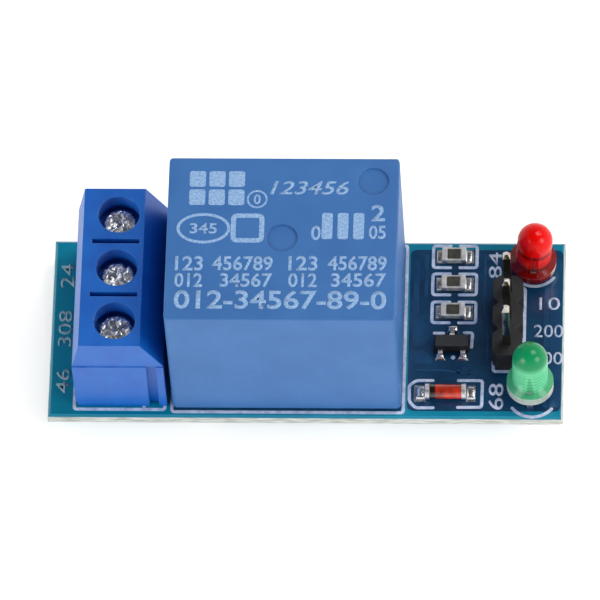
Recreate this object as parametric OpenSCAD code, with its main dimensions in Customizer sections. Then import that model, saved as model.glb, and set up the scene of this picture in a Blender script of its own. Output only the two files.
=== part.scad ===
// Relay module board: one board carrying a sealed relay, a three way screw
// terminal block, two indicator lamps, a pin header and surface parts.
// Millimetres. X runs from the terminal block to the lamps, Y to the board's
// back edge, Z up. Z = 0 is the level of the trimmed pin ends.

/* [Board] */
// Board length along X
board_l = 43; // [38:0.5:60]
// Board width along Y
board_w = 17; // [16.6:0.2:30]
// Board thickness
board_t = 1.2; // [0.8:0.1:2]
// Bevel left on each board edge by the scored break line
board_bevel = 0.25; // [0.05:0.05:0.35]
// Drop from the board's underside to the trimmed pin ends
pin_drop = 1.6; // [1:0.1:3]

/* [Terminal block] */
// Distance between neighbouring screws
term_pitch = 5.08; // [4.2:0.04:6.2]
// Distance from the board's left end to the screw line
term_inset = 6.05; // [5:0.05:9]
// Body depth from the wire face to the back face
term_depth = 7.6; // [7.4:0.1:9]
// Body height above the board
term_h = 10; // [9.6:0.1:13]
// Screw line's distance from the wire face
term_front = 3.65; // [3.4:0.05:4.4]
// Height at which the wire face starts to lean inwards
term_knee = 6.5; // [6.3:0.1:7.2]
// Lean of the wire face at the top
term_lean = 0.72; // [0:0.04:1]
// Width of the bevel along the top's back edge
term_bevel = 1.8; // [0.5:0.1:2]
// Drop of that bevel
term_bevel_drop = 3.4; // [1:0.1:3.4]
// Radius of the screwdriver hole
driver_r = 1.725; // [1.6:0.025:2]
// Wire entry width
entry_w = 3.3; // [2.8:0.1:3.6]
// Wire entry height
entry_h = 3.3; // [2.8:0.1:4]
// Clamp width across the wire
clamp_w = 3.9; // [3.4:0.1:4.7]
// Clamp length along the wire
clamp_l = 4; // [3.4:0.1:4.2]
// Thickness of the clamp's strip
clamp_t = 0.6; // [0.5:0.05:0.7]
// Thickness of the clamp's tapped top
clamp_top = 0.9; // [0.7:0.05:1.2]
// Clamp travel from open to closed
clamp_travel = 1.8; // [1.2:0.05:2.2]
// Screw shank radius
shank_r = 1.2; // [1:0.05:1.3]
// Screw head radius
head_r = 1.425; // [1.35:0.025:1.55]
// Screw head height
head_h = 1; // [0.8:0.05:1.05]
// Depth of the screw heads below the top
head_sink = 1.5; // [0.6:0.1:2.6]

/* [Relay] */
// Case length along X
relay_l = 19.1; // [15.9:0.1:19.3]
// Case width along Y
relay_w = 15.4; // [12.8:0.1:18.5]
// Case top above the board
relay_h = 15.2; // [12.6:0.1:18.4]
// Case centre along X, from the board's centre
relay_x = -1.5; // [-2:0.1:-1.4]
// Height of the stand-off feet
relay_feet = 0.3; // [0.2:0.05:0.6]
// Case wall thickness
relay_wall = 0.8; // [0.6:0.05:0.9]
// Case roof thickness
relay_roof = 1; // [0.6:0.1:1]
// Radius of the case's upright edges
relay_edge = 0.45; // [0.1:0.05:0.6]
// Radius of the case's upper edges
relay_top_edge = 0.15; // [0.05:0.05:0.5]
// Radius of the round marks in the roof
mark_r = 1.3; // [0.8:0.1:1.6]
// Depth of the round marks
mark_d = 0.18; // [0.05:0.01:0.3]
// Coil winding radius
winding_r = 4.2; // [3.4:0.1:4.3]
// Iron core radius
core_r = 2.2; // [1.6:0.1:2.3]
// Armature lift at rest, in degrees
arm_lift = 3.2; // [1.5:0.1:4]
// Armature plate thickness
arm_t = 1; // [0.7:0.05:1]
// Contact button radius
button_r = 0.9; // [0.6:0.05:1]

/* [Pin header] */
// Distance between header pins
header_pitch = 2.54; // [2:0.02:3.06]
// Header centre along X
header_x = 16.8; // [16:0.1:17]
// Header body width
header_w = 2.5; // [2.3:0.1:2.6]
// Header body height
header_h = 2.5; // [2:0.1:3]
// Header pin width
header_pin = 0.64; // [0.5:0.02:0.7]
// Pin tip height above the board
header_tip = 8.45; // [6:0.1:12]

/* [Lamps] */
// Lens radius
lens_r = 1.475; // [1.3:0.025:1.55]
// Lens flange radius
flange_r = 1.95; // [1.8:0.05:2]
// Lens length from flange to dome
lens_h = 5.4; // [4.4:0.1:6]
// Red lamp's flange underside above the board
red_z = 0.7; // [0.7:0.1:2]
// Green lamp's flange underside above the board
green_z = 1; // [0.9:0.1:2]
// Clear gap between a lamp's flange and the header
lamp_gap = 0.24; // [0.2:0.01:0.6]
// Lamp distance from the board's right end
lamp_inset = 2.75; // [2.65:0.05:3]
// Lean of the red lamp towards the board's end, in degrees
red_lean = 4; // [0:0.5:7]
// Lean of the green lamp towards the board's end, in degrees
green_lean = 1; // [0:0.5:7]
// Lean of the green lamp towards the header, in degrees
green_back = 6; // [0:0.5:7]
// Lamp lead width
lead_w = 0.5; // [0.4:0.05:0.6]

/* [Surface parts] */
// Chip resistor length
chip_l = 2; // [1.6:0.05:2.2]
// Chip resistor width
chip_w = 1.25; // [0.8:0.05:1.4]
// Chip resistor height
chip_h = 0.5; // [0.35:0.05:0.6]
// Transistor body length
trans_l = 2.92; // [2.6:0.02:3]
// Transistor body width
trans_w = 1.3; // [1.2:0.05:1.5]
// Transistor body height
trans_h = 1; // [0.8:0.05:1.2]
// Glass diode radius
diode_r = 0.62; // [0.55:0.01:0.8]
// Glass diode length over its caps
diode_l = 3.4; // [3:0.1:3.6]

/* [Hidden] */
$fn = 64;
// small clearances
slide_gap = 0.05;
thread_gap = 0.04;
shelf_gap = 0.08;
tip_gap = 0.05;
core_gap = 0.03;
touch = 0.01;

board_z = pin_drop;
top = pin_drop + board_t;

// terminal block
ways = 3;
term_x = -board_l / 2 + term_inset;
term_y = 0.1;
term_len = ways * term_pitch - 0.1;
term_x0 = term_x - term_front;
term_x1 = term_x0 + term_depth;
clamp_z0 = 0.3;
bar_z0 = clamp_z0 + clamp_t + clamp_travel + 0.2;
bar_t = 0.6;
clamp_window = clamp_travel + bar_t + 0.3;
bar_w = clamp_w - 2 * clamp_t - 0.3;
clamp_z1 = clamp_z0 + clamp_t + clamp_window + clamp_top;
head_z = max(clamp_z1 + clamp_travel + 0.1, term_h - head_sink - head_h);
well_w = clamp_w + 2 * slide_gap;
well_l = clamp_l + 4 * slide_gap;
well_z = clamp_z1 + clamp_travel + 0.15;
driver_z = head_z + head_h + 0.1;
entry_z0 = clamp_z0 + clamp_t;
leg_t = 0.65;
leg_w = 1;
leg_x1 = term_x + well_l / 2 + 1.05;
leg_x0 = leg_x1 - leg_t;
function way_y(i) = term_y + (i - 1) * term_pitch;

// relay
relay_y = -0.05;
case_x1 = relay_x + relay_l / 2;
in_x0 = relay_x - relay_l / 2 + relay_wall;
in_x1 = case_x1 - relay_wall;
in_w = relay_w - 2 * relay_wall;
in_z1 = relay_h - relay_roof;
base_z0 = relay_feet;
base_z1 = relay_feet + 1.9;
yoke_t = 1.2;
yoke_x1 = in_x1 - 0.7;
yoke_x0 = yoke_x1 - yoke_t;
yoke_w = in_w - 4.8;
yoke_foot = 1;
coil_x = yoke_x0 - winding_r - 0.5;
hub_r = core_r + 0.6;
flange_t = 0.7;
arm_strip = 0.35;
blade_t = 0.2;
button_t = 0.35;
pole_gap = 0.05;
// the pole's height leaves room over it for the armature, its lift and the contacts
pivot_x = yoke_x0 + 0.5 * yoke_t;
contact_x = in_x0 + 2.1;
contact_rise = (pivot_x - contact_x) * sin(arm_lift);
contact_stack = arm_t + blade_t + 2 * button_t + arm_strip + 0.1;
pole_z = in_z1 - contact_rise - contact_stack - pole_gap - 0.11;
bobbin_z0 = base_z1 + yoke_foot + touch;
bobbin_z1 = pole_z - 0.5;
bobbin_l = 2 * winding_r + 0.6;
bobbin_w = in_w - 3.4;
heel_x = yoke_x1 - 0.1;
arm_x0 = coil_x - 3.6;
pivot_z = pole_z + pole_gap;
low_button_z = pivot_z + arm_t - button_t;
high_button_z = pivot_z + arm_t + blade_t + button_t;
no_face_z = low_button_z - 0.06;
nc_face_z = high_button_z + contact_rise + 0.1;
relay_pin_x = in_x0 + 1.6;
relay_pin_y = in_w / 2 - 0.9;
relay_pin_w = 0.8;
relay_pin_t = 0.5;
coil_pin_w = 0.6;
com_pin_x = in_x1 - 1.7;
coil_pin_x = com_pin_x - 2;
com_pin_y = 0;

// right hand parts
lamp_x = board_l / 2 - lamp_inset;
lamp_y = 1.5 * header_pitch + flange_r + lamp_gap;
lead_pitch = 2.54;
header_pins_n = 3;
chip_x = 12.14;
chip_ys = [7.0, 4.32, 1.66];
chip_end = 0.38;
chip_lift = 0.05;
trans_x = 12.12;
trans_y = -1.65;
trans_pitch = 1.9;
diode_x = 11.71;
diode_y = -6.3;
cap_l = 0.36;
cap_r = diode_r + 0.05;

// solder joints: [x, y, pad radius, pin size x, pin size y]
term_joints = [for (i = [0 : ways - 1]) [(leg_x0 + leg_x1) / 2, way_y(i), 1.25, leg_t, leg_w]];
relay_joints = [
    [relay_pin_x, relay_pin_y, 1.3, relay_pin_t, relay_pin_w],
    [relay_pin_x, -relay_pin_y, 1.3, relay_pin_t, relay_pin_w],
    [com_pin_x, com_pin_y, 1.3, relay_pin_t, relay_pin_w],
    [coil_pin_x, relay_pin_y, 1.05, coil_pin_w, coil_pin_w],
    [coil_pin_x, -relay_pin_y, 1.05, coil_pin_w, coil_pin_w],
];
header_joints = [
    for (i = [-1 : 1])
        [header_x, i * header_pitch, 0.85, header_pin, header_pin]
];
lamp_joints = [
    for (s = [-1, 1], e = [-1, 1])
        [lamp_x, s * lamp_y + e * lead_pitch / 2, 0.8, lead_w, lead_w]
];

// ---------- shared shapes ----------

// box from one corner to the other
module span(x0, x1, y0, y1, z0, z1)
    translate([x0, y0, z0])
        cube([x1 - x0, y1 - y0, z1 - z0]);

// profile drawn in X and Z, run along Y
module along_y(y0, y1)
    translate([0, y1, 0])
        rotate([90, 0, 0])
            linear_extrude(y1 - y0)
                children();

// profile drawn in Y and Z, run along X
module along_x(x0, x1)
    translate([x0, 0, 0])
        rotate([90, 0, 90])
            linear_extrude(x1 - x0)
                children();

// rectangle with round corners, centred
module round_rect(l, w, r) {
    square([l - 2 * r, w], center = true);
    square([l, w - 2 * r], center = true);
    for (x = [-1, 1], y = [-1, 1])
        translate([x * (l / 2 - r), y * (w / 2 - r)])
            circle(r);
}

// upright rectangle with round upper corners, centred on X, foot at Y = 0
module round_top(l, h, r) {
    translate([-l / 2, 0])
        square([l, h - r]);
    translate([-l / 2 + r, 0])
        square([l - 2 * r, h]);
    for (x = [-1, 1])
        translate([x * (l / 2 - r), h - r])
            circle(r);
}

// block with upright edges of radius r and upper edges of radius top_r
module round_block(l, w, h, r, top_r)
    intersection() {
        linear_extrude(h)
            round_rect(l, w, r);
        along_y(-w, w)
            round_top(l, h, top_r);
        along_x(-l, l)
            round_top(w, h, top_r);
    }

// the drilled hole and the soldered cone of one joint
module drill(j)
    translate([j[0], j[1], board_z - 1])
        cylinder(h = board_t + 2, r = max(j[3], j[4]) / 2 + 0.2);

module joint(j) {
    cone_h = pin_drop - 0.25;
    tip_r = max(j[3], j[4]) / 2 + 0.12;
    mid_r = (j[2] + 2 * tip_r) / 3;
    difference() {
        translate([j[0], j[1], board_z - cone_h])
            rotate_extrude()
                polygon([[0, 0], [tip_r, 0], [mid_r, cone_h * 0.55], [j[2], cone_h], [0, cone_h]]);
        span(j[0] - j[3] / 2, j[0] + j[3] / 2, j[1] - j[4] / 2, j[1] + j[4] / 2, 0, top);
    }
}

// ---------- board ----------

module edge_profile(w)
    polygon([
        [-w / 2 + board_bevel, 0],
        [w / 2 - board_bevel, 0],
        [w / 2, board_bevel],
        [w / 2, board_t - board_bevel],
        [w / 2 - board_bevel, board_t],
        [-w / 2 + board_bevel, board_t],
        [-w / 2, board_t - board_bevel],
        [-w / 2, board_bevel],
    ]);

module circuit_board()
    color([0.05, 0.35, 0.45])
    difference() {
        translate([0, 0, board_z])
            intersection() {
                along_y(-board_w, board_w)
                    edge_profile(board_l);
                along_x(-board_l, board_l)
                    edge_profile(board_w);
            }
        for (j = term_joints)
            drill(j);
        for (j = relay_joints)
            drill(j);
        for (j = header_joints)
            drill(j);
        for (j = lamp_joints)
            drill(j);
    }

// ---------- terminal block ----------

module term_profile()
    polygon([
        [term_x0 + 0.25, 0],
        [term_x1, 0],
        [term_x1, term_h - term_bevel_drop],
        [term_x1 - term_bevel, term_h],
        [term_x0 + term_lean, term_h],
        [term_x0, term_knee],
        [term_x0, 0.9],
    ]);

// wire entry: a mouth that narrows to the clamp's well
module wire_entry(y)
    intersection() {
        along_y(y - entry_w, y + entry_w)
            polygon([
                [term_x0 - 1, entry_z0 - 0.35],
                [term_x0 + 0.05, entry_z0 - 0.35],
                [term_x0 + 0.75, entry_z0],
                [term_x, entry_z0],
                [term_x, entry_z0 + entry_h],
                [term_x0 + 0.75, entry_z0 + entry_h],
                [term_x0 + 0.05, entry_z0 + entry_h + 0.4],
                [term_x0 - 1, entry_z0 + entry_h + 0.4],
            ]);
        linear_extrude(term_h)
            translate([0, y])
                polygon([
                    [term_x0 - 1, -entry_w / 2 - 0.35],
                    [term_x0 + 0.05, -entry_w / 2 - 0.35],
                    [term_x0 + 0.75, -entry_w / 2],
                    [term_x, -entry_w / 2],
                    [term_x, entry_w / 2],
                    [term_x0 + 0.75, entry_w / 2],
                    [term_x0 + 0.05, entry_w / 2 + 0.35],
                    [term_x0 - 1, entry_w / 2 + 0.35],
                ]);
    }

module terminal_housing()
    color([0.12, 0.36, 0.78])
    translate([0, 0, top])
    difference() {
        union() {
            along_y(term_y - term_len / 2, term_y + term_len / 2)
                term_profile();
            // tongue that joins the next block
            translate([0, term_y + term_len / 2, 0])
                linear_extrude(term_knee - 0.2)
                    polygon([
                        [term_x1 - 1.2, -0.2],
                        [term_x1 - 0.85, -0.2],
                        [term_x1 - 0.7, 0.35],
                        [term_x1 - 1.35, 0.35],
                    ]);
        }
        // matching groove in the other end
        translate([0, term_y - term_len / 2, 0])
            linear_extrude(term_knee)
                polygon([
                    [term_x1 - 1.35, -1],
                    [term_x1 - 0.75, -1],
                    [term_x1 - 0.6, 0.45],
                    [term_x1 - 1.5, 0.45],
                ]);
        // shallow relief above the knee on the end that shows
        span(term_x0 - 1, term_x1 + 1, term_y - term_len / 2 - 1,
             term_y - term_len / 2 + 0.08, term_knee, term_h + 1);
        for (i = [0 : ways - 1]) {
            y = way_y(i);
            // well of the clamp, open below
            span(term_x - well_l / 2, term_x + well_l / 2, y - well_w / 2, y + well_w / 2, -1, well_z);
            // shank hole, room for the screw head over it, then the screwdriver hole
            translate([term_x, y, well_z - 1])
                cylinder(h = head_z - well_z + 1.1, r = shank_r + shelf_gap);
            translate([term_x, y, head_z])
                cylinder(h = driver_z - head_z, r = driver_r + 0.3);
            translate([term_x, y, driver_z - 0.5])
                cylinder(h = term_h, r = driver_r);
            wire_entry(y);
            // slot of the contact's leg, open below
            span(term_x, leg_x1, y - leg_w / 2, y + leg_w / 2, -1, bar_z0 + bar_t);
        }
        // slots in the top between the ways
        for (i = [0 : ways - 2])
            span(term_x - 2.15, term_x + 1.8, way_y(i) + term_pitch / 2 - 0.22,
                 way_y(i) + term_pitch / 2 + 0.22, term_h - 1.2, term_h + 1);
    }

module terminal_contacts()
    color([0.8, 0.8, 0.78])
    translate([0, 0, top])
    for (i = [0 : ways - 1]) {
        y = way_y(i);
        union() {
            span(term_x - 1.8, term_x + well_l / 2 - 0.02, y - bar_w / 2, y + bar_w / 2, bar_z0, bar_z0 + bar_t);
            span(term_x, leg_x1, y - leg_w / 2, y + leg_w / 2, bar_z0, bar_z0 + bar_t);
            span(leg_x0, leg_x1, y - leg_w / 2, y + leg_w / 2, -top, bar_z0 + bar_t);
        }
    }

// one screw: head with a slot and a cross, and a shank down to the bar
module terminal_screw(i, turn)
    color([0.82, 0.83, 0.84])
    translate([term_x, way_y(i), top])
    difference() {
        union() {
            translate([0, 0, bar_z0 + bar_t + tip_gap])
                cylinder(h = 0.2, r1 = shank_r - 0.2, r2 = shank_r);
            translate([0, 0, bar_z0 + bar_t + tip_gap + 0.2])
                cylinder(h = head_z - bar_z0 - bar_t - tip_gap - 0.1, r = shank_r);
            translate([0, 0, head_z])
                cylinder(h = head_h - 0.15, r = head_r);
            translate([0, 0, head_z + head_h - 0.15])
                cylinder(h = 0.15, r1 = head_r, r2 = head_r - 0.2);
        }
        rotate([0, 0, turn])
            translate([0, 0, head_z + head_h]) {
                cube([head_r * 2 + 1, 0.5, 1], center = true);
                cube([0.45, 1.9, 1.3], center = true);
                cube([1.9, 0.45, 1.3], center = true);
            }
    }

module terminal_screw_1() terminal_screw(0, 24);
module terminal_screw_2() terminal_screw(1, 62);
module terminal_screw_3() terminal_screw(2, 38);

// rising clamp: a closed loop with a tapped top
module terminal_clamp(i)
    color([0.75, 0.75, 0.72])
    translate([term_x, way_y(i), top])
    difference() {
        along_x(-clamp_l / 2, clamp_l / 2)
            translate([0, (clamp_z0 + clamp_z1) / 2])
                round_rect(clamp_w, clamp_z1 - clamp_z0, 0.25);
        span(-clamp_l, clamp_l, -clamp_w / 2 + clamp_t, clamp_w / 2 - clamp_t,
             clamp_z0 + clamp_t, clamp_z0 + clamp_t + clamp_window);
        translate([0, 0, clamp_z1 - clamp_top - 0.5])
            cylinder(h = clamp_top + 1, r = shank_r + thread_gap);
    }

module terminal_clamp_1() terminal_clamp(0);
module terminal_clamp_2() terminal_clamp(1);
module terminal_clamp_3() terminal_clamp(2);

// ---------- relay ----------

module relay_case()
    color([0.2, 0.42, 0.72])
    translate([0, 0, top])
    difference() {
        translate([relay_x, relay_y, base_z0])
            round_block(relay_l, relay_w, relay_h - base_z0, relay_edge, relay_top_edge);
        span(in_x0, in_x1, relay_y - in_w / 2, relay_y + in_w / 2, base_z0 - 1, in_z1);
        // round marks left in the roof by the mould
        translate([relay_x, 0, relay_h - mark_d])
            cylinder(h = 1, r = mark_r);
        translate([case_x1 - 2.15, relay_w / 2 - 2.25, relay_h - mark_d])
            cylinder(h = 1, r = mark_r);
    }

// pins of the relay in the base's height, as cut-outs
module relay_pin_shapes()
    for (j = relay_joints)
        span(j[0] - j[3] / 2, j[0] + j[3] / 2, j[1] - j[4] / 2, j[1] + j[4] / 2, -top, base_z1 + 1);

module relay_base()
    color([0.2, 0.2, 0.22])
    translate([0, 0, top])
    difference() {
        union() {
            span(in_x0, in_x1, relay_y - in_w / 2, relay_y + in_w / 2, base_z0, base_z1);
            for (x = [in_x0 + 1.4, in_x1 - 0.9], y = [-1, 1])
                translate([x, relay_y + y * 3, 0])
                    cylinder(h = base_z0 + 0.2, r = 0.6);
        }
        relay_pin_shapes();
    }

module relay_bobbin()
    color([0.85, 0.83, 0.75])
    translate([coil_x, 0, top])
    difference() {
        union() {
            translate([0, 0, bobbin_z0])
                linear_extrude(flange_t)
                    round_rect(bobbin_l, bobbin_w, 0.6);
            translate([0, 0, bobbin_z0])
                cylinder(h = bobbin_z1 - bobbin_z0, r = hub_r);
            translate([0, 0, bobbin_z1 - flange_t])
                linear_extrude(flange_t)
                    round_rect(bobbin_l, bobbin_w, 0.6);
        }
        cylinder(h = relay_h, r = core_r + core_gap);
    }

module relay_winding()
    color([0.72, 0.4, 0.2])
    translate([coil_x, 0, top + bobbin_z0 + flange_t])
    difference() {
        cylinder(h = bobbin_z1 - bobbin_z0 - 2 * flange_t, r = winding_r);
        translate([0, 0, -1])
            cylinder(h = relay_h, r = hub_r + core_gap);
    }

module relay_core()
    color([0.7, 0.7, 0.72])
    translate([coil_x, 0, top]) {
        translate([0, 0, base_z1])
            cylinder(h = yoke_foot + 0.1, r = 1.2);
        translate([0, 0, base_z1 + yoke_foot])
            cylinder(h = pole_z - base_z1 - yoke_foot, r = core_r);
        translate([0, 0, pole_z - 0.4])
            cylinder(h = 0.4, r = 3);
    }

module relay_yoke()
    color([0.68, 0.68, 0.7])
    translate([0, 0, top])
    difference() {
        union() {
            span(coil_x - 2.6, yoke_x1, -yoke_w / 2, yoke_w / 2, base_z1, base_z1 + yoke_foot);
            span(yoke_x0, yoke_x1, -yoke_w / 2, yoke_w / 2, base_z1, pole_z);
            span(com_pin_x - relay_pin_t / 2, com_pin_x + relay_pin_t / 2,
                 com_pin_y - relay_pin_w / 2, com_pin_y + relay_pin_w / 2, -top, base_z1 + 0.5);
        }
        translate([coil_x, 0, 0])
            cylinder(h = base_z1 + yoke_foot, r = 1.2 + core_gap);
    }

// leaf on the back of the yoke that holds the armature's heel down
module relay_hinge_spring()
    color([0.8, 0.6, 0.3])
    translate([0, 0, top])
    along_y(-2.2, 2.2)
        polygon([
            [yoke_x1, 4.2],
            [yoke_x1 + 0.2, 4.2],
            [yoke_x1 + 0.2, pivot_z + arm_t + 0.45],
            [pivot_x - 0.6, pivot_z + arm_t + 0.45],
            [pivot_x - 0.6, pivot_z + arm_t + 0.25],
            [yoke_x1, pivot_z + arm_t + 0.25],
        ]);

// turns what moves with the armature to its lifted rest place
module lifted()
    translate([pivot_x, 0, top + pivot_z])
        rotate([0, arm_lift, 0])
            translate([-pivot_x, 0, -pivot_z])
                children();

module relay_armature()
    color([0.66, 0.66, 0.68])
    lifted()
    translate([0, 0, pivot_z])
        linear_extrude(arm_t)
            polygon([
                [heel_x, -yoke_w / 2 + 0.3],
                [heel_x, yoke_w / 2 - 0.3],
                [coil_x + 2, yoke_w / 2 - 0.3],
                [coil_x + 1, yoke_w / 2 - 1],
                [arm_x0 + 1, yoke_w / 2 - 1],
                [arm_x0, yoke_w / 2 - 2],
                [arm_x0, -yoke_w / 2 + 2],
                [arm_x0 + 1, -yoke_w / 2 + 1],
                [coil_x + 1, -yoke_w / 2 + 1],
                [coil_x + 2, -yoke_w / 2 + 0.3],
            ]);

module relay_contact_blade()
    color([0.82, 0.5, 0.3])
    lifted()
    translate([0, 0, pivot_z + arm_t])
        difference() {
            union() {
                linear_extrude(blade_t)
                    polygon([
                        [coil_x + 2.4, -2],
                        [coil_x + 2.4, 2],
                        [arm_x0, 2],
                        [contact_x + 1, 1.1],
                        [contact_x, 1.1],
                        [contact_x, -1.1],
                        [contact_x + 1, -1.1],
                        [arm_x0, -2],
                    ]);
                translate([contact_x, 0, 0])
                    cylinder(h = blade_t, r = 1.1);
                // two rivets that fix the blade to the armature
                for (y = [-1, 1])
                    translate([coil_x, y * 1.1, 0])
                        cylinder(h = blade_t + 0.25, r = 0.5);
            }
            translate([contact_x, 0, -1])
                cylinder(h = 3, r = 0.5);
        }

module relay_moving_contact()
    color([0.88, 0.88, 0.86])
    lifted()
    translate([contact_x, 0, 0]) {
        translate([0, 0, low_button_z])
            cylinder(h = button_t, r = button_r);
        translate([0, 0, pivot_z + arm_t - 0.05])
            cylinder(h = blade_t + 0.1, r = 0.5 - core_gap);
        translate([0, 0, pivot_z + arm_t + blade_t])
            cylinder(h = button_t, r = button_r);
    }

// fixed terminals: a pin, an upright strip at the wall and an arm under or over the blade
module contact_terminal(side, arm_z)
    translate([0, 0, top]) {
        span(relay_pin_x - relay_pin_t / 2, relay_pin_x + relay_pin_t / 2,
             side * relay_pin_y - relay_pin_w / 2, side * relay_pin_y + relay_pin_w / 2, -top, base_z1 + 0.4);
        span(relay_pin_x - 1.1, relay_pin_x + 1.1,
             side * relay_pin_y - arm_strip / 2, side * relay_pin_y + arm_strip / 2, base_z1, arm_z + arm_strip);
        span(relay_pin_x - 1.1, relay_pin_x + 1.1,
             min(side * relay_pin_y, -side * 1.2), max(side * relay_pin_y, -side * 1.2), arm_z, arm_z + arm_strip);
    }

module relay_no_terminal()
    color([0.8, 0.55, 0.35])
    contact_terminal(-1, no_face_z - button_t - arm_strip);

module relay_nc_terminal()
    color([0.8, 0.55, 0.35])
    contact_terminal(1, nc_face_z + button_t);

module relay_fixed_contacts()
    color([0.88, 0.88, 0.86])
    translate([contact_x, 0, top]) {
        translate([0, 0, no_face_z - button_t])
            cylinder(h = button_t, r = button_r);
        translate([0, 0, nc_face_z])
            cylinder(h = button_t, r = button_r);
    }

module relay_coil_pins()
    color([0.8, 0.8, 0.78])
    translate([0, 0, top])
    for (s = [-1, 1])
        span(coil_pin_x - coil_pin_w / 2, coil_pin_x + coil_pin_w / 2,
             s * relay_pin_y - coil_pin_w / 2, s * relay_pin_y + coil_pin_w / 2, -top, bobbin_z0 + 2);

// ---------- pin header ----------

module header_base()
    color([0.06, 0.06, 0.06])
    translate([header_x, 0, top])
    difference() {
        linear_extrude(header_h)
            for (i = [-1 : 1])
                translate([0, i * header_pitch])
                    polygon([
                        [-header_w / 2, -header_pitch / 2 + 0.5],
                        [-header_w / 2 + 0.5, -header_pitch / 2],
                        [header_w / 2 - 0.5, -header_pitch / 2],
                        [header_w / 2, -header_pitch / 2 + 0.5],
                        [header_w / 2, header_pitch / 2 - 0.5],
                        [header_w / 2 - 0.5, header_pitch / 2],
                        [-header_w / 2 + 0.5, header_pitch / 2],
                        [-header_w / 2, header_pitch / 2 - 0.5],
                    ]);
        for (i = [-1 : 1])
            span(-header_pin / 2, header_pin / 2, i * header_pitch - header_pin / 2,
                 i * header_pitch + header_pin / 2, -1, header_h + 1);
    }

// square wire pin with its ends brought to a blunt point
module pin_profile(h)
    polygon([
        [-header_pin / 2 + 0.15, 0],
        [header_pin / 2 - 0.15, 0],
        [header_pin / 2, 0.3],
        [header_pin / 2, h - 0.5],
        [header_pin / 2 - 0.2, h],
        [-header_pin / 2 + 0.2, h],
        [-header_pin / 2, h - 0.5],
        [-header_pin / 2, 0.3],
    ]);

module header_pins()
    color([0.8, 0.78, 0.74])
    for (i = [-1 : 1])
        translate([header_x, i * header_pitch, 0])
            intersection() {
                along_x(-1, 1)
                    pin_profile(top + header_tip);
                along_y(-1, 1)
                    pin_profile(top + header_tip);
            }

// ---------- lamps ----------

// turns a lamp about the bend in its leads
module leaning(side, lean, back)
    translate([lamp_x, side * lamp_y, top + 0.5])
        rotate([-back, lean, 0])
            translate([0, 0, -0.5])
                children();

// the two leads above the bend: a post with a cup and a plain post
module lead_tops(lens_z)
    for (s = [-1, 1])
        span(-lead_w / 2, lead_w / 2, s * lead_pitch / 2 - lead_w / 2,
             s * lead_pitch / 2 + lead_w / 2, 0.5, lens_z + 1.2);

module lamp_lens(side, lens_z, lean, back)
    leaning(side, lean, back)
    difference() {
        union() {
            difference() {
                translate([0, 0, lens_z])
                    cylinder(h = 0.95, r = flange_r);
                // flat that marks one lead
                translate([-3, lens_r + 0.1, 0])
                    cube([6, 3, 5]);
            }
            translate([0, 0, lens_z])
                cylinder(h = lens_h - lens_r, r = lens_r);
            translate([0, 0, lens_z + lens_h - lens_r])
                sphere(lens_r);
        }
        lead_tops(lens_z);
    }

module lamp_leads(side, lens_z, lean, back) {
    for (s = [-1, 1])
        translate([lamp_x, side * lamp_y + s * lead_pitch / 2, 0])
            span(-lead_w / 2, lead_w / 2, -lead_w / 2, lead_w / 2, 0,
                 top + 0.55 + lead_pitch / 2 * sin(back));
    leaning(side, lean, back)
        lead_tops(lens_z);
}

module red_lens()
    color([0.8, 0.05, 0.05])
    lamp_lens(1, red_z, red_lean, 0);

module red_leads()
    color([0.8, 0.8, 0.78])
    lamp_leads(1, red_z, red_lean, 0);

module green_lens()
    color([0.2, 0.7, 0.45])
    lamp_lens(-1, green_z, green_lean, green_back);

module green_leads()
    color([0.8, 0.8, 0.78])
    lamp_leads(-1, green_z, green_lean, green_back);

// ---------- surface parts ----------

module resistor_bodies()
    color([0.2, 0.18, 0.12])
    for (y = chip_ys)
        span(chip_x - chip_l / 2 + chip_end, chip_x + chip_l / 2 - chip_end,
             y - chip_w / 2, y + chip_w / 2, top + chip_lift, top + chip_lift + chip_h);

module resistor_ends()
    color([0.75, 0.75, 0.75])
    for (y = chip_ys, s = [-1, 1])
        translate([chip_x + s * (chip_l - chip_end) / 2, y, top + (chip_h + 2 * chip_lift) / 2])
            cube([chip_end, chip_w, chip_h + 2 * chip_lift], center = true);

module transistor_body()
    color([0.05, 0.05, 0.05])
    translate([trans_x, trans_y, top + 0.1])
    intersection() {
        along_y(-trans_w, trans_w)
            polygon([
                [-trans_l / 2 + 0.08, 0],
                [trans_l / 2 - 0.08, 0],
                [trans_l / 2, trans_h * 0.45],
                [trans_l / 2 - 0.1, trans_h],
                [-trans_l / 2 + 0.1, trans_h],
                [-trans_l / 2, trans_h * 0.45],
            ]);
        along_x(-trans_l, trans_l)
            polygon([
                [-trans_w / 2 + 0.08, 0],
                [trans_w / 2 - 0.08, 0],
                [trans_w / 2, trans_h * 0.45],
                [trans_w / 2 - 0.1, trans_h],
                [-trans_w / 2 + 0.1, trans_h],
                [-trans_w / 2, trans_h * 0.45],
            ]);
    }

// one bent lead that leaves the body's long side at half height
module gull_lead()
    translate([-0.2, 0, 0])
        along_x(0, 0.4)
            polygon([
                [trans_w / 2 - 0.02, 0.5],
                [trans_w / 2 + 0.18, 0.5],
                [trans_w / 2 + 0.3, 0.12],
                [trans_w / 2 + 0.3, 0],
                [trans_w / 2 + 0.65, 0],
                [trans_w / 2 + 0.65, 0.12],
                [trans_w / 2 + 0.42, 0.12],
                [trans_w / 2 + 0.3, 0.62],
                [trans_w / 2 - 0.02, 0.62],
            ]);

module transistor_leads()
    color([0.8, 0.8, 0.8])
    difference() {
        translate([trans_x, trans_y, top]) {
            gull_lead();
            for (s = [-1, 1])
                translate([s * trans_pitch / 2, 0, 0])
                    rotate([0, 0, 180])
                        gull_lead();
        }
        transistor_body();
    }

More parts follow.
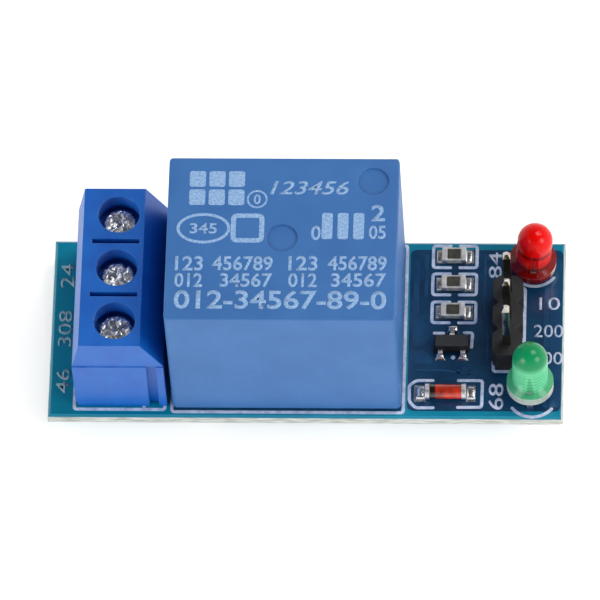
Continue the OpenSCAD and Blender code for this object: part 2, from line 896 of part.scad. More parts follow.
module diode_glass()
    color([0.8, 0.25, 0.12])
    translate([diode_x, diode_y, top + cap_r])
    rotate([0, 90, 0])
    difference() {
        cylinder(h = diode_l - 2 * cap_l, r = diode_r, center = true);
        cylinder(h = diode_l, r = 0.4, center = true);
    }

// end caps, each with the stud that reaches into the glass
module diode_ends()
    color([0.75, 0.75, 0.75])
    translate([diode_x, diode_y, top + cap_r])
    for (s = [0, 180])
        rotate([0, 90, s]) {
            translate([0, 0, diode_l / 2 - cap_l])
                cylinder(h = cap_l, r = cap_r);
            translate([0, 0, 0.1])
                cylinder(h = diode_l / 2 - cap_l, r = 0.4 - core_gap);
        }

// ---------- solder ----------

module terminal_solder()
    color([0.78, 0.78, 0.76])
    for (j = term_joints)
        joint(j);

module relay_solder()
    color([0.78, 0.78, 0.76])
    for (j = relay_joints)
        joint(j);

module header_solder()
    color([0.78, 0.78, 0.76])
    for (j = header_joints)
        joint(j);

module lamp_solder()
    color([0.78, 0.78, 0.76])
    for (j = lamp_joints)
        joint(j);

// hollow fillet that climbs an end of a surface part, run along Y
module fillet(x, dir, y, w, reach, h)
    translate([x, 0, top])
        along_y(y - w / 2, y + w / 2)
            polygon([
                [0, 0],
                [dir * reach, 0],
                [dir * reach, 0.04],
                [dir * reach * 0.6, h * 0.2],
                [dir * reach * 0.28, h * 0.5],
                [0, h],
            ]);

module chip_solder()
    color([0.78, 0.78, 0.76]) {
        for (y = chip_ys, s = [-1, 1])
            fillet(chip_x + s * chip_l / 2, s, y, chip_w + 0.05, 0.5, 0.42);
        for (s = [-1, 1])
            fillet(diode_x + s * diode_l / 2, s, diode_y, 1.3, 0.55, 0.8);
    }

circuit_board();
terminal_housing();
terminal_contacts();
terminal_screw_1();
terminal_screw_2();
terminal_screw_3();
terminal_clamp_1();
terminal_clamp_2();
terminal_clamp_3();
relay_case();
relay_base();
relay_bobbin();
relay_winding();
relay_core();
relay_yoke();
relay_hinge_spring();
relay_armature();
relay_contact_blade();
relay_moving_contact();
relay_no_terminal();
relay_nc_terminal();
relay_fixed_contacts();
relay_coil_pins();
header_base();
header_pins();
red_lens();
red_leads();
green_lens();
green_leads();
resistor_bodies();
resistor_ends();
transistor_body();
transistor_leads();
diode_glass();
diode_ends();
terminal_solder();
relay_solder();
header_solder();
lamp_solder();
chip_solder();
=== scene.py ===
import math
import bpy
from mathutils import Matrix, Vector


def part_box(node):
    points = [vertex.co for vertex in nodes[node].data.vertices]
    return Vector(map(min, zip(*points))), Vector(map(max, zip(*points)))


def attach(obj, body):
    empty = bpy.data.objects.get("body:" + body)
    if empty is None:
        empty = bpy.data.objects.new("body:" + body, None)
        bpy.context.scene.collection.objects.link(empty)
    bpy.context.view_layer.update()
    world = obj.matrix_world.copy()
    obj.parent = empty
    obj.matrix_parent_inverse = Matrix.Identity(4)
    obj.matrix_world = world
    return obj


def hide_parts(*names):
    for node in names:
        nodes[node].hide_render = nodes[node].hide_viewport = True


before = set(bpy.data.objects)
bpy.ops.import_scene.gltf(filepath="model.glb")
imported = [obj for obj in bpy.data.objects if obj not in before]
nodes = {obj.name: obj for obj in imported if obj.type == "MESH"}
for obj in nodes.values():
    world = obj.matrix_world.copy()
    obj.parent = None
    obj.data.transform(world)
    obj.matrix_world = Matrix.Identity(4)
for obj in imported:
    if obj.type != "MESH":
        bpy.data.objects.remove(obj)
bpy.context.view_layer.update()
mm = 0.001

boardLow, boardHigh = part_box("circuit_board")
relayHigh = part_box("relay_case")[1]
midX = (boardLow.x + boardHigh.x) / 2
midY = (boardLow.y + boardHigh.y) / 2
print("frame loaded:", len(nodes), "nodes")


# camera, light and floor

view = {
    "target": (-0.428, -0.067, 7.8),  # mm, in the object's frame
    "azimuth": 5.757,  # degrees, as the next two
    "elevation": 60.158,
    "roll": -4.715,
    "distance": 873.017,  # mm
    "lens": 628.97,  # mm, for a sensor of this width
    "sensor": 36,
    "clip": (0.01, 10),  # m
}
studio = {
    # directions towards the lamps, their power in W and their size in m
    "lamps": [
        ((0.38, 0.29, 0.88), 1.2, 0.28),
        ((-0.71, -0.53, 0.47), 1.15, 0.3),
        ((0.76, -0.36, 0.54), 1.2, 0.28),
    ],
    "distance": 0.6,  # m, from the target
    "horizon": 1.0,  # strength of the room at the level of the eye, and overhead
    "zenith": 0.07,
    "heights": (0.25, 0.85),  # sines of the angles between which the one turns into the other
    "floorTone": "#F8F7F4",
    "floorLift": 0.44,  # glow of the paper where it is seen, mirrored or looked at through something
    "floorSize": 1.6,  # m
}


def linear(hexColour):
    # a hex colour as it is seen, to amounts of light
    values = [int(hexColour[i:i + 2], 16) / 255 for i in (1, 3, 5)]
    curve = [v / 12.92 if v <= 0.04045 else ((v + 0.055) / 1.055) ** 2.4 for v in values]
    return (*curve, 1)


def emptyTree(owner):
    owner.use_nodes = True
    owner.node_tree.nodes.clear()
    return owner.node_tree


def endTree(tree, kind, surface):
    out = tree.nodes.new("ShaderNodeOutput" + kind)
    tree.links.new(surface, out.inputs["Surface"])


def addNode(tree, kind, inputs=None, output=0, **settings):
    # adds one node with its settings and links, and gives back one of its outputs
    node = tree.nodes.new("ShaderNode" + kind)
    for name, value in settings.items():
        setattr(node, name, value)
    live = [socket for socket in node.inputs if socket.enabled]
    for name, value in (inputs or {}).items():
        socket = live[name] if isinstance(name, int) else next(s for s in live if s.name == name)
        if isinstance(value, bpy.types.NodeSocket):
            tree.links.new(value, socket)
        else:
            socket.default_value = value
    if isinstance(output, str):
        return node.outputs[output]
    return [socket for socket in node.outputs if socket.enabled][output]


def doMath(tree, operation, first, second=None):
    values = {0: first} if second is None else {0: first, 1: second}
    return addNode(tree, "Math", values, operation=operation)


def spread(tree, value, old, new=(0, 1)):
    # maps one band of values onto another, and stays level past its ends
    return addNode(tree, "MapRange", {"Value": value, "From Min": old[0], "From Max": old[1],
                                      "To Min": new[0], "To Max": new[1]})


def axisOf(tree, where, axis):
    return addNode(tree, "SeparateXYZ", {0: where}, output=axis)


def placeCamera():
    a, e, r = (math.radians(view[k]) for k in ("azimuth", "elevation", "roll"))
    back = Vector((math.sin(a) * math.cos(e), -math.cos(a) * math.cos(e), math.sin(e)))
    right = Vector((math.cos(a), math.sin(a), 0))
    up = back.cross(right)
    rolledRight = math.cos(r) * right + math.sin(r) * up
    rolledUp = math.cos(r) * up - math.sin(r) * right
    data = bpy.data.cameras.new("studioCamera")
    data.sensor_width = view["sensor"]
    data.lens = view["lens"]
    data.clip_start, data.clip_end = view["clip"]
    camera = bpy.data.objects.new("studioCamera", data)
    bpy.context.scene.collection.objects.link(camera)
    turn = Matrix((rolledRight, rolledUp, back)).transposed()
    place = Vector(view["target"]) * mm + back * view["distance"] * mm
    camera.matrix_world = Matrix.Translation(place) @ turn.to_4x4()
    bpy.context.scene.camera = camera


def placeLamps():
    target = Vector(view["target"]) * mm
    for number, (direction, power, size) in enumerate(studio["lamps"]):
        data = bpy.data.lights.new(f"softbox{number}", "AREA")
        data.energy = power
        data.size = size
        lamp = bpy.data.objects.new(f"softbox{number}", data)
        bpy.context.scene.collection.objects.link(lamp)
        towards = Vector(direction).normalized()
        lamp.location = target + towards * studio["distance"]
        lamp.rotation_euler = towards.to_track_quat("Z", "Y").to_euler()


def lightWorld():
    # a pale room: white at the level of the eye, dim overhead
    world = bpy.data.worlds.new("paleRoom")
    bpy.context.scene.world = world
    tree = emptyTree(world)
    where = addNode(tree, "TexCoord", output="Generated")
    height = axisOf(tree, where, "Z")
    level = spread(tree, height, studio["heights"], (studio["horizon"], studio["zenith"]))
    room = addNode(tree, "Background", {"Color": linear("#FFFFFF"), "Strength": level})
    endTree(tree, "World", room)


def layFloor():
    bpy.ops.object.select_all(action="DESELECT")
    bpy.ops.mesh.primitive_plane_add(size=studio["floorSize"], location=(0, 0, 0))
    floor = bpy.context.object
    floor.name = "floor"
    # matte white paper, so bright that it loses all but the softest shadow
    material = bpy.data.materials.new("matteWhitePaper")
    tree = emptyTree(material)
    paper = addNode(tree, "BsdfDiffuse", {"Color": linear(studio["floorTone"])})
    seen, mirrored, through = (addNode(tree, "LightPath", output=f"Is {kind} Ray")
                               for kind in ("Camera", "Glossy", "Transmission"))
    either = doMath(tree, "ADD", doMath(tree, "ADD", seen, mirrored), through)
    lift = doMath(tree, "MULTIPLY", either, studio["floorLift"])
    glow = addNode(tree, "Emission", {"Color": linear("#FFFFFF"), "Strength": lift})
    endTree(tree, "Material", addNode(tree, "AddShader", {0: paper, 1: glow}))
    floor.data.materials.append(material)


placeCamera()
placeLamps()
lightWorld()
layFloor()
bpy.context.scene.view_settings.view_transform = "Standard"
print("camera, lamps, room and floor placed")


# finishes; sizes are in mm, and bands are parts of a value from 0 to 1

finishing = {
    "cloudDetail": 3.0,
    "cloudBand": (0.35, 0.65),  # where the first tone turns into the second
    "grainBand": (0.3, 0.7),  # where the glossier spots turn into the duller ones
    "rubBand": (0.995, 0.8),  # cosine between the flat and the rounded normal, from unworn to worn
    "bevelSamples": 6,
    "blend": 0.01,  # over which one surface turns into the next
}
plain = {
    # what a finish has unless it says otherwise
    "detail": 4.0,
    "edge": 0.08,
    "relief": 0.3,
    "depth": 0.01,
    "wear": 0.6,
}
casting = {
    # what both lamp lenses have; heights are shares of the whole from foot to top
    "grain": 0.5,
    "rough": (0.14, 0.2),
    "relief": 0.02,
    "edge": 0.05,
    "tall": 5.4,
    "crest": (0.1, 1.0),  # the part of a wave that shows as a ring of painted reflection
    "ringStart": 0.03,
    "ringEnd": 0.12,
    # a painted glint of light on the right side of the flange: from here outwards, below this height
    "glintFrom": 1.6,
    "glintFade": 0.1,
    "glintBelow": (0.15, 0.135),
    "glintShare": 0.85,
    "clear": ((0.0, 0.3), (0.11, 0.3), (0.14, 0.0), (1.0, 0.0)),
}


def mixTones(tree, share, first, second):
    # each tone is a hex colour or a node's output
    first, second = (linear(tone) if isinstance(tone, str) else tone for tone in (first, second))
    return addNode(tree, "Mix", {"Factor": share, "A": first, "B": second}, data_type="RGBA")


def mixLevels(tree, share, first, second):
    return addNode(tree, "Mix", {"Factor": share, "A": first, "B": second}, data_type="FLOAT")


def noise(tree, where, size, detail):
    return addNode(tree, "TexNoise", {"Vector": where, "Scale": 1 / (size * mm), "Detail": detail})


def bands(tree, where, period, axis, waver=0.0):
    # a wave texture repeats twenty times in a full turn
    scale = 2 * math.pi / (20 * period * mm)
    return addNode(tree, "TexWave", {"Vector": where, "Scale": scale, "Distortion": waver},
                   output="Fac", bands_direction=axis)


def step(tree, value, threshold, soft=finishing["blend"] * mm):
    # 0 below the threshold and 1 above it
    return spread(tree, value, (threshold - soft, threshold + soft))


def shadeAlong(tree, place, stopList):
    # a row of tones or levels along a value from 0 to 1
    ramp = tree.nodes.new("ShaderNodeValToRGB")
    stops = ramp.color_ramp.elements
    while len(stops) < len(stopList):
        stops.new(0.5)
    for stop, (position, tone) in zip(stops, stopList):
        stop.position = position
        stop.color = tone
    tree.links.new(place, ramp.inputs["Fac"])
    return ramp.outputs["Color"]


def lensPlace(tree, where, look):
    # 0 at the foot of a lens and 1 at its top, along its own leaning axis
    x, y, z = look["pivot"]
    pivot = (midX + x * mm, midY + y * mm, boardHigh.z + z * mm)
    side, back = (math.radians(a) for a in look["lean"])
    axis = (math.cos(back) * math.sin(side), math.sin(back), math.cos(back) * math.cos(side))
    reach = addNode(tree, "VectorMath", {0: where, 1: pivot}, operation="SUBTRACT")
    along = addNode(tree, "VectorMath", {0: reach, 1: axis}, operation="DOT_PRODUCT", output="Value")
    foot = look["foot"] * mm
    return spread(tree, along, (foot, foot + look["tall"] * mm))


def makeFinish(name, ownLook, paint=None):
    # two tones in soft clouds, a grain in the gloss and height, rounded and worn edges
    look = {**plain, **ownLook}
    material = bpy.data.materials.new(name)
    tree = emptyTree(material)
    where = addNode(tree, "TexCoord", output="Object")
    grain = noise(tree, where, look["grain"], look["detail"])
    colour, height = None, grain
    rough = spread(tree, grain, finishing["grainBand"], look["rough"])
    if "tones" in look:
        cloud = noise(tree, where, look["cloud"], finishing["cloudDetail"])
        cloud = spread(tree, cloud, finishing["cloudBand"])
        colour = mixTones(tree, cloud, *look["tones"])
    if paint:
        colour, rough, height = paint(tree, where, colour, rough, height, look)
    rounded = addNode(tree, "Bevel", {"Radius": look["edge"] * mm}, samples=finishing["bevelSamples"])
    if "worn" in look:
        flat = addNode(tree, "NewGeometry", output="True Normal")
        alike = addNode(tree, "VectorMath", {0: rounded, 1: flat}, operation="DOT_PRODUCT", output="Value")
        rub = doMath(tree, "MULTIPLY", spread(tree, alike, finishing["rubBand"]), cloud)
        colour = mixTones(tree, doMath(tree, "MULTIPLY", rub, look["wear"]), colour, look["worn"])
    normal = addNode(tree, "Bump", {"Height": height, "Normal": rounded, "Strength": look["relief"],
                                    "Distance": look["depth"] * mm})
    sockets = {"Base Color": colour, "Roughness": rough, "Normal": normal}
    if "clear" in look:
        stopList = [(at, (k, k, k, 1)) for at, k in look["clear"]]
        sockets["Transmission Weight"] = shadeAlong(tree, lensPlace(tree, where, look), stopList)
    sockets.update(look["shader"])
    endTree(tree, "Material", addNode(tree, "BsdfPrincipled", sockets))
    return material


def paintBoard(tree, where, colour, rough, height, look):
    # bare glass layers show where the board was snapped from its panel, mask and weave elsewhere
    x, y = axisOf(tree, where, "X"), axisOf(tree, where, "Y")
    bare = step(tree, x, boardHigh.x - look["snapped"] * mm)
    for place, middle, end in ((x, midX, boardHigh.x), (y, midY, boardHigh.y)):
        reach = doMath(tree, "ABSOLUTE", doMath(tree, "SUBTRACT", place, middle))
        bare = doMath(tree, "MAXIMUM", bare, step(tree, reach, end - middle - look["rim"] * mm))
    stretched = addNode(tree, "Mapping", {"Vector": where, "Scale": look["stretch"]})
    streak = spread(tree, noise(tree, stretched, look["streak"], look["streakDetail"]), look["streakBand"])
    warp, weft = (bands(tree, where, look["weave"], axis, look["waver"]) for axis in "XY")
    weave = doMath(tree, "MULTIPLY", warp, weft)
    colour = mixTones(tree, doMath(tree, "MULTIPLY", weave, look["woven"]), colour, look["weaveTone"])
    colour = mixTones(tree, bare, colour, mixTones(tree, streak, *look["fibre"]))
    rough = mixLevels(tree, bare, rough, look["bareRough"])
    height = mixLevels(tree, bare, height, streak)
    return colour, rough, height


def paintDiode(tree, where, colour, rough, height, look):
    # a black cathode ring is baked on near one cap
    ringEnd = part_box("diode_glass")[0].x + look["ring"] * mm
    clear = step(tree, axisOf(tree, where, "X"), ringEnd, look["ringFade"] * mm)
    return mixTones(tree, clear, look["ringTone"], colour), rough, height


def paintPin(tree, where, colour, rough, height, look):
    # the cropped end of each pin is rough, its sides are not
    cropped = step(tree, axisOf(tree, where, "Z"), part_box("header_pins")[1].z - look["crop"] * mm)
    torn = noise(tree, where, look["torn"], look["tornDetail"])
    torn = spread(tree, torn, look["tornBand"], look["tornShare"])
    colour = mixTones(tree, cropped, colour, mixTones(tree, torn, *look["cropTones"]))
    return colour, mixLevels(tree, cropped, rough, look["cropRough"]), height


def paintLens(tree, where, colour, rough, height, look):
    # the dye's colour changes on the way up, in bands that also hold painted light and shade; faint rings of
    # painted reflection cross it, and the flange's right side carries a painted glint
    place = lensPlace(tree, where, look)
    # the bands: the dye's colour along the height, with painted light and shade from inside the lens laid in
    colour = shadeAlong(tree, place, [(at, linear(tone)) for at, tone in look["bands"]])
    # faint painted rings that stand in for the leads inside, seen mirrored in the epoxy
    ring = doMath(tree, "SINE", doMath(tree, "MULTIPLY", place, look["rings"] * 2 * math.pi))
    ring = spread(tree, ring, look["crest"], (0, look["ringDepth"]))
    first, last = look["ringSpan"]
    ring = doMath(tree, "MULTIPLY", ring, step(tree, place, first, look["ringStart"]))
    ring = doMath(tree, "MULTIPLY", ring, spread(tree, place, (last, last - look["ringEnd"])))
    colour = mixTones(tree, ring, colour, look["ringTone"])
    # a pale painted glint where the side light catches the flange's right rim
    glintEdge = midX + (look["pivot"][0] + look["glintFrom"]) * mm
    glint = step(tree, axisOf(tree, where, "X"), glintEdge, look["glintFade"] * mm)
    flange = spread(tree, place, look["glintBelow"], (0, look["glintShare"]))
    colour = mixTones(tree, doMath(tree, "MULTIPLY", glint, flange), colour, look["glintTone"])
    return colour, rough, height


def paintTurns(tree, where, colour, rough, height, look):
    # rings along Z: turns of wire, or of a thread up to the height where the screw's head starts
    turns = bands(tree, where, look["turn"], "Z")
    if "until" in look:
        above = step(tree, axisOf(tree, where, "Z"), look["until"] * mm)
        turns = mixLevels(tree, above, turns, height)
    return colour, rough, turns


looks = {
    # light-cured epoxy solder mask on woven glass laminate: glossy, even teal with the weave just
    # showing through, and a pale fibrous edge
    "solderMaskOnGlassEpoxy": {"tones": ("#007B9A", "#0388A6"), "cloud": 6, "grain": 0.25,
                               "rough": (0.16, 0.26), "relief": 0.15, "edge": 0.05, "shader": {"IOR": 1.5},
                               # the bare rim all round and on the right, and its flat-lying layers
                               "rim": 0.05, "snapped": 0.14, "bareRough": 0.75,
                               "fibre": ("#AEB3AC", "#E2E5E0"), "stretch": (0.15, 0.15, 1.6),
                               "streak": 0.22, "streakDetail": 5.0, "streakBand": (0.38, 0.62),
                               # the cloth that shows through the mask
                               "weave": 0.9869, "waver": 0.6, "woven": 0.22, "weaveTone": "#0C7A93"},
    # the same mask over copper foil: deeper blue, and a little raised
    "solderMaskOnCopper": {"tones": ("#083558", "#0E4468"), "cloud": 2.2, "grain": 0.2, "rough": (0.14, 0.24),
                           "relief": 0.2, "edge": 0.03, "shader": {"IOR": 1.5}},
    # mask over the wide tracks, where the copper lies brighter below it
    "solderMaskOnTrack": {"tones": ("#103F68", "#194C74"), "cloud": 1.6, "grain": 0.2, "rough": (0.14, 0.24),
                          "relief": 0.2, "edge": 0.03, "shader": {"IOR": 1.5}},
    # screen-printed epoxy legend ink: matte bluish white, slightly uneven
    "legendInk": {"tones": ("#A9B9DA", "#D3DEF4"), "cloud": 0.5, "grain": 0.08, "rough": (0.5, 0.7),
                  "relief": 0.4, "depth": 0.005, "edge": 0.02, "shader": {"IOR": 1.5}},
    # the same ink where the mask below is teal and the print is thin
    "legendInkThin": {"tones": ("#6E9AA8", "#9DBCC6"), "cloud": 0.5, "grain": 0.08, "rough": (0.5, 0.7),
                      "relief": 0.4, "depth": 0.005, "edge": 0.02, "shader": {"IOR": 1.5}},
    # hot-air levelled tin on copper pads: bright, softly rippled
    "tinnedPad": {"tones": ("#9FA1A8", "#C9CBD0"), "cloud": 0.6, "grain": 0.3, "rough": (0.14, 0.24),
                  "relief": 0.2, "edge": 0.03, "shader": {"Metallic": 1.0}},
    # moulded polyamide 66: saturated blue with a satin skin and paler rubbed edges
    "mouldedBlueNylon": {"tones": ("#055DBE", "#0A68C8"), "cloud": 2.5, "grain": 0.12, "rough": (0.3, 0.44),
                         "relief": 0.25, "depth": 0.008, "edge": 0.12, "worn": "#5C92E0", "wear": 0.55,
                         "shader": {"IOR": 1.53}},
    # moulded polyester (PBT) relay cover: mid blue, fine spark-eroded texture
    "mouldedBluePbt": {"tones": ("#2D69AC", "#3370B3"), "cloud": 4, "grain": 0.1, "rough": (0.4, 0.55),
                       "relief": 0.3, "depth": 0.006, "edge": 0.055, "worn": "#7FA6D6", "wear": 0.6,
                       "shader": {"IOR": 1.55}},
    # pad-printed ink on the cover: pale blue, worn thin in specks
    "padPrintInk": {"tones": ("#78A2D4", "#A3C3E8"), "cloud": 0.2, "grain": 0.06, "rough": (0.45, 0.6),
                    "relief": 0.3, "depth": 0.004, "edge": 0.02, "shader": {"IOR": 1.5}},
    # relay base plate, moulded PBT, darker
    "mouldedBasePbt": {"tones": ("#17407F", "#1C4789"), "cloud": 3, "grain": 0.12, "rough": (0.45, 0.6),
                       "relief": 0.3, "edge": 0.06, "shader": {"IOR": 1.55}},
    # bobbin in natural nylon
    "naturalNylon": {"tones": ("#D9D3C2", "#E6E1D3"), "cloud": 2, "grain": 0.12, "rough": (0.4, 0.55),
                     "edge": 0.06, "shader": {"IOR": 1.53}},
    # enamelled copper wire: deep orange brown, glossy varnish, turns side by side
    "enamelledCopper": {"tones": ("#8E3B17", "#B0542A"), "cloud": 0.8, "grain": 0.1, "rough": (0.2, 0.32),
                        "relief": 1.0, "depth": 0.05, "turn": 0.16, "edge": 0.03,
                        "shader": {"Metallic": 1.0, "Coat Weight": 0.5}},
    # nickel-plated soft iron: grey, satin from the barrel
    "nickelledIron": {"tones": ("#8F8C86", "#A9A69F"), "cloud": 1.2, "grain": 0.1, "rough": (0.28, 0.42),
                      "relief": 0.3, "edge": 0.05, "shader": {"Metallic": 1.0}},
    # rolled spring bronze: golden, fine rolling lines
    "springBronze": {"tones": ("#B98A4E", "#CFA063"), "cloud": 1, "grain": 0.08, "rough": (0.22, 0.35),
                     "relief": 0.3, "edge": 0.04, "shader": {"Metallic": 1.0}},
    # silver alloy contact buttons: white metal, lightly pitted
    "contactSilver": {"tones": ("#D8D8D6", "#ECECEA"), "cloud": 0.4, "grain": 0.06, "rough": (0.15, 0.3),
                      "relief": 0.4, "edge": 0.05, "shader": {"Metallic": 1.0}},
    # tinned brass bars and pins
    "tinnedBrass": {"tones": ("#BDB9AE", "#D6D3CA"), "cloud": 0.8, "grain": 0.08, "rough": (0.2, 0.35),
                    "relief": 0.3, "edge": 0.05, "shader": {"Metallic": 1.0}},
    # zinc-plated steel clamps: bluish grey, tumbled
    "zincPlatedClamp": {"tones": ("#A7ABB2", "#C6CAD0"), "cloud": 0.7, "grain": 0.08, "rough": (0.22, 0.4),
                        "relief": 0.4, "edge": 0.06, "shader": {"Metallic": 1.0}},
    # zinc-plated screw: bright, crystalline and lightly scored by tumbling
    "zincPlatedScrew": {"tones": ("#DADDE2", "#FFFFFF"), "cloud": 0.35, "grain": 0.4, "detail": 1.5,
                        "rough": (0.14, 0.4), "relief": 1.0, "depth": 0.1, "edge": 0.08,
                        "turn": 0.45, "until": 9.2, "shader": {"Metallic": 1.0}},
    # tin-dipped lead wire
    "tinnedWire": {"tones": ("#CBC9CE", "#E6E4E8"), "cloud": 0.6, "grain": 0.2, "rough": (0.3, 0.42),
                   "relief": 0.15, "edge": 0.05, "shader": {"Metallic": 1.0}},
    # pin strip in glass-filled nylon: near black, dull
    "glassFilledNylon": {"tones": ("#08080A", "#101012"), "cloud": 1.2, "grain": 0.1, "rough": (0.45, 0.65),
                         "relief": 0.4, "edge": 0.08, "worn": "#4A4A50", "wear": 0.5,
                         "shader": {"IOR": 1.53}},
    # tinned square pins: mirror-like sides, and cropped ends that are torn and bright
    "tinnedPin": {"tones": ("#A8A39A", "#C4BFB4"), "cloud": 0.5, "grain": 0.16, "rough": (0.08, 0.14),
                  "relief": 0.15, "edge": 0.03, "shader": {"Metallic": 1.0},
                  "crop": 0.04, "cropTones": ("#6A6660", "#FFFBF2"), "cropRough": 0.62, "torn": 0.2,
                  "tornDetail": 1.0, "tornBand": (0.42, 0.6), "tornShare": (0.35, 1.0)},
    # red dyed casting epoxy: glassy and saturated all through, clearer in the flange; its bands add painted
    # shade and light, dark bands in the body and a paler flange top
    "redCastEpoxy": {**casting, "pivot": (18.75, 6.0, 0.5), "lean": (4, 0), "foot": 0.2,
                     "rings": 9, "ringDepth": 0.25, "ringTone": "#4E0404", "ringSpan": (0.14, 0.46),
                     # the pale tone of the painted glint on the flange's right side
                     "glintTone": "#F0DCCB",
                     "bands": ((0.0, "#7E1A1E"), (0.1, "#8A1216"), (0.135, "#B83A3E"), (0.155, "#8A0504"),
                               (0.22, "#6A0303"), (0.27, "#7A0303"), (0.32, "#D00403"), (0.52, "#E80402"),
                               (0.57, "#9A0403"), (0.61, "#900303"), (0.67, "#F80402"), (1.0, "#F00603")),
                     "shader": {"IOR": 1.54, "Specular IOR Level": 0.22}},
    # green dyed and diffused casting epoxy: deep in the dome, lighter mint below, clearer in the flange; its
    # bands add painted light and shade, the lighter lower body, a pale flange top and a dark line where the
    # body meets it
    "greenCastEpoxy": {**casting, "pivot": (18.75, -6.0, 0.5), "lean": (1, 6), "foot": 0.5,
                       "rings": 13, "ringDepth": 0.4, "ringTone": "#2F9A66", "ringSpan": (0.16, 0.66),
                       # the pale tone of the painted glint on the flange's right side
                       "glintTone": "#F2EADC",
                       "bands": ((0.0, "#C8CECB"), (0.135, "#A8CCBA"), (0.15, "#328C62"), (0.18, "#58BC88"),
                                 (0.3, "#66D29A"), (0.68, "#62D096"), (0.8, "#17945C"), (1.0, "#0F9056")),
                       "shader": {"IOR": 1.54, "Specular IOR Level": 0.3}},
    # fired alumina chip: chalky white, fine grained
    "firedAlumina": {"tones": ("#B4B3AE", "#CFCEC9"), "cloud": 0.4, "grain": 0.06, "rough": (0.5, 0.65),
                     "relief": 0.3, "edge": 0.05, "shader": {"IOR": 1.6}},
    # screened glass over the resistor film: dark olive with a dull shine
    "resistorOverglaze": {"tones": ("#2B2A22", "#45443A"), "cloud": 0.4, "grain": 0.08, "rough": (0.3, 0.45),
                          "relief": 0.3, "edge": 0.04, "shader": {"IOR": 1.5}},
    # transfer-moulded black epoxy: dull, finely pitted
    "mouldedBlackEpoxy": {"tones": ("#0B0A0F", "#141319"), "cloud": 0.8, "grain": 0.06, "rough": (0.4, 0.6),
                          "relief": 0.4, "edge": 0.06, "shader": {"IOR": 1.55}},
    # glass sleeve over a red coated die: wet orange red with a black ring
    "redDiodeGlass": {"tones": ("#7A180C", "#D8381E"), "cloud": 1.1, "grain": 0.4, "rough": (0.05, 0.12),
                      "relief": 0.05, "edge": 0.1, "ring": 0.5, "ringFade": 0.05, "ringTone": "#1A0A0A",
                      "shader": {"IOR": 1.52, "Coat Weight": 0.8}},
    # tin-lead solder, frozen bright with faint ripples
    "brightSolder": {"tones": ("#C4C5C9", "#ECEDF0"), "cloud": 0.5, "grain": 0.3, "rough": (0.12, 0.26),
                     "relief": 0.3, "depth": 0.015, "edge": 0.08, "shader": {"Metallic": 1.0}},
}
paints = {
    "solderMaskOnGlassEpoxy": paintBoard,
    "redDiodeGlass": paintDiode,
    "redCastEpoxy": paintLens,
    "greenCastEpoxy": paintLens,
    "enamelledCopper": paintTurns,
    "zincPlatedScrew": paintTurns,
    "tinnedPin": paintPin,
}
finishes = {name: makeFinish(name, look, paints.get(name)) for name, look in looks.items()}

wears = {
    "solderMaskOnGlassEpoxy": ["circuit_board"],
    "mouldedBlueNylon": ["terminal_housing"],
    "tinnedBrass": ["terminal_contacts"],
    "zincPlatedScrew": ["terminal_screw_1", "terminal_screw_2", "terminal_screw_3"],
    "zincPlatedClamp": ["terminal_clamp_1", "terminal_clamp_2", "terminal_clamp_3"],
    "mouldedBluePbt": ["relay_case"],
    "mouldedBasePbt": ["relay_base"],
    "naturalNylon": ["relay_bobbin"],
    "enamelledCopper": ["relay_winding"],
    "nickelledIron": ["relay_core", "relay_yoke", "relay_armature"],
    "springBronze": ["relay_hinge_spring", "relay_contact_blade", "relay_no_terminal", "relay_nc_terminal"],
    "contactSilver": ["relay_moving_contact", "relay_fixed_contacts"],
    "tinnedWire": ["relay_coil_pins", "red_leads", "green_leads",
                   "resistor_ends", "transistor_leads", "diode_ends"],
    "glassFilledNylon": ["header_base"],
    "tinnedPin": ["header_pins"],
    "redCastEpoxy": ["red_lens"],
    "greenCastEpoxy": ["green_lens"],
    "firedAlumina": ["resistor_bodies"],
    "mouldedBlackEpoxy": ["transistor_body"],
    "redDiodeGlass": ["diode_glass"],
    "brightSolder": ["terminal_solder", "relay_solder", "header_solder", "lamp_solder", "chip_solder"],
}
for finishName, members in wears.items():
    for member in members:
        for materialSlot in nodes[member].material_slots:
            materialSlot.material = finishes[finishName]
print("finishes made:", len(finishes))


# flat work on the board; sizes are in mm

drawing = {
    "weld": 0.0005,  # within which corners become one
    "mitre": 0.4,  # least cosine at a corner, which keeps its point short
    "capTurns": (60, 30, 0, -30, -60),  # degrees round the end of a line
    "bend": (0, 0.25, 0.5, 0.75, 1),  # steps along a rounded bend
    "seed": 0.1,  # side of the square that shrinks to the first corner
    "cornerSteps": 4,
    "curveSteps": 4,  # along each curve of a digit
    "ringSteps": 40,
    "arcSteps": 14,
    "smoothBelow": 50,  # degrees between faces that still shade as one
}


def onBoard(x, y, z=0):
    # mm from the board's centre and top face, to metres
    return Vector((midX + x * mm, midY + y * mm, boardHigh.z + z * mm))


def layOut(points, z):
    return [onBoard(x, y, z) for x, y in points]


def rectangle(left, right, front, back):
    return [(left, front), (right, front), (right, back), (left, back)]


def arc(x, y, radius, first, last):
    steps = drawing["arcSteps"]
    turns = [math.radians(first + (last - first) * k / steps) for k in range(steps + 1)]
    return [(x + radius * math.cos(t), y + radius * math.sin(t)) for t in turns]


def drawPath(points):
    # extrudes one corner after another from a point into a closed chain of edges
    bpy.ops.object.select_all(action="DESELECT")
    bpy.ops.mesh.primitive_plane_add(size=drawing["seed"] * mm, location=points[0])
    bpy.ops.object.mode_set(mode="EDIT")
    bpy.ops.mesh.select_mode(type="VERT")
    bpy.ops.mesh.select_all(action="SELECT")
    bpy.ops.mesh.merge(type="CENTER")
    for here, there in zip(points, points[1:] + points[:1]):
        bpy.ops.mesh.extrude_region_move(TRANSFORM_OT_translate={"value": there - here})
    bpy.ops.mesh.select_all(action="SELECT")
    bpy.ops.mesh.remove_doubles(threshold=drawing["weld"] * mm)
    return bpy.context.object


